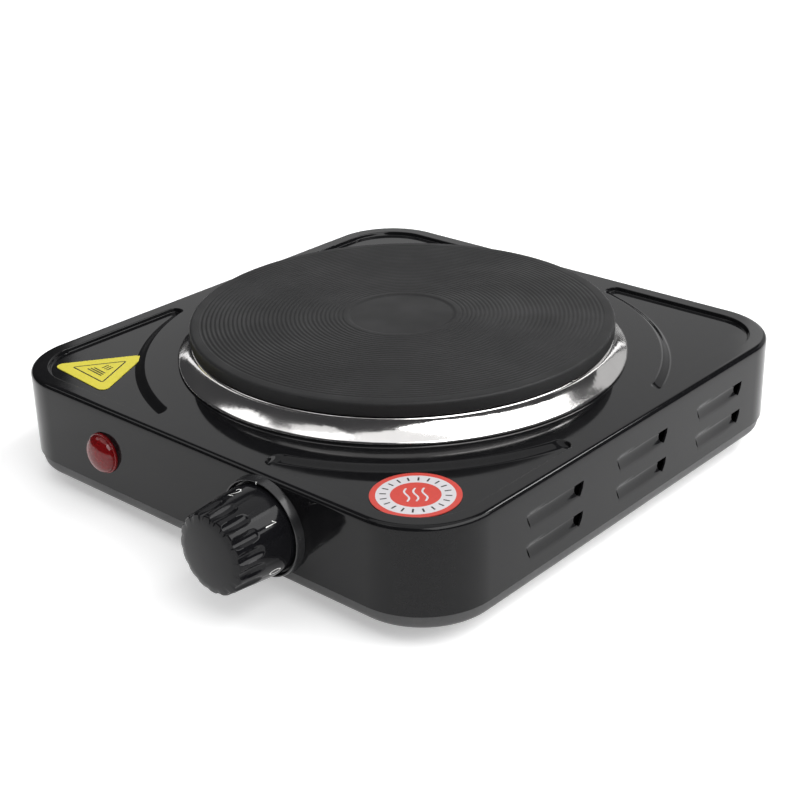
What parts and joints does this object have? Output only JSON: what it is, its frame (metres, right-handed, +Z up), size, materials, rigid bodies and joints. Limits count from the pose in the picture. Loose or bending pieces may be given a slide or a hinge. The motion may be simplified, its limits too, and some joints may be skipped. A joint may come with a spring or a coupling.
{
  "type": "hot plate burner",
  "caption": "Portable electric hot plate: cast-iron plate in a bright trim ring on a square enamelled body with vents, feet, a turning knob and a pilot lamp.",
  "frame": {"origin": "bottom centre of the whole object, at the level the feet rest on", "axes": "+Z up through the cooking plate; -Y is the front, with the knob; vents at +X and -X"},
  "size_m": [0.206, 0.2376, 0.0562],
  "materials": {
    "black_enamel": "gloss black vitreous enamel",
    "black_gloss_plastic": "gloss moulded phenolic",
    "block_plastic": "natural",
    "brass": "turned or stamped",
    "bright_steel": "polished",
    "cast_iron": "turned and blackened",
    "ceramic": "unglazed steatite",
    "element_sheath": "heat-darkened",
    "insulation": "matt mineral board",
    "label_red": "printed film",
    "label_yellow": "printed film",
    "lamp_glass": "clear",
    "lead_blue": "woven heat-proof sleeve",
    "lead_red": "woven heat-proof sleeve",
    "pan_paint": "satin black-grey paint",
    "red_lens": "clear red moulding",
    "rubber": "matt",
    "shield_steel": "bright rolled",
    "spring_steel": "rolled",
    "zinc_steel": "zinc plated"
  },
  "bodies": {
    "body": {"arm_terminal": "brass", "base_pan": "pan_paint", "base_screw_1": "zinc_steel", "base_screw_2": "zinc_steel", "base_screw_3": "zinc_steel", "base_screw_4": "zinc_steel", "bimetal_blade": "spring_steel", "bimetal_terminal": "brass", "bush_nut": "zinc_steel", "centre_stud": "zinc_steel", "clamp_bridge": "zinc_steel", "clamp_nut": "zinc_steel", "clamp_washer": "zinc_steel", "cord_gland": "rubber", "corner_post_1": "zinc_steel", "corner_post_2": "zinc_steel", "corner_post_3": "zinc_steel", "corner_post_4": "zinc_steel", "earth_screw": "brass", "earth_tag": "brass", "element_cover": "zinc_steel", "element_lead": "lead_red", "foot_1": "rubber", "foot_2": "rubber", "foot_3": "rubber", "foot_4": "rubber", "heat_shield": "shield_steel", "heating_element": "element_sheath", "hot_plate": "cast_iron", "housing": "black_enamel", "insulation_disc": "insulation", "knob_bezel": "black_enamel", "lamp_live_lead": "lead_red", "lamp_neutral_lead": "lead_blue", "live_lead": "lead_red", "neon_lamp": "lamp_glass", "neutral_lead": "lead_blue", "pilot_lens": "red_lens", "pilot_retainer": "spring_steel", "round_label": "label_red", "spindle_bush": "brass", "stack_rivet": "zinc_steel", "stack_spacer_low": "ceramic", "stack_spacer_middle": "ceramic", "stack_spacer_top": "ceramic", "terminal_bead_1": "ceramic", "terminal_bead_2": "ceramic", "terminal_block": "block_plastic", "terminal_pin_1": "zinc_steel", "terminal_pin_2": "zinc_steel", "terminal_screw_1": "brass", "terminal_screw_2": "brass", "thermostat_bracket": "zinc_steel", "triangle_label": "label_yellow", "trim_ring": "bright_steel"},
    "knob": {"control_knob": "black_gloss_plastic", "knob_spindle": "zinc_steel", "thermostat_cam": "ceramic"},
    "contact_arm": {"contact_arm": "spring_steel"}
  },
  "joints": [
    {"name": "knob_turn", "type": "hinge", "parent": "body", "child": "knob", "pos_m": [0.034, -0.0933, 0.0258], "axis": [0, 1, 0], "range_deg": [-126, 154]},
    {"name": "contact_arm_flex", "type": "hinge", "parent": "body", "child": "contact_arm", "pos_m": [0.018, -0.0783, 0.03145], "axis": [0, -1, 0], "range_deg": [-3.4, 4.1]}
  ],
  "couplings": [
    {"joint": "contact_arm_flex", "follows": "knob_turn", "ratio": 0.025564}
  ]
}
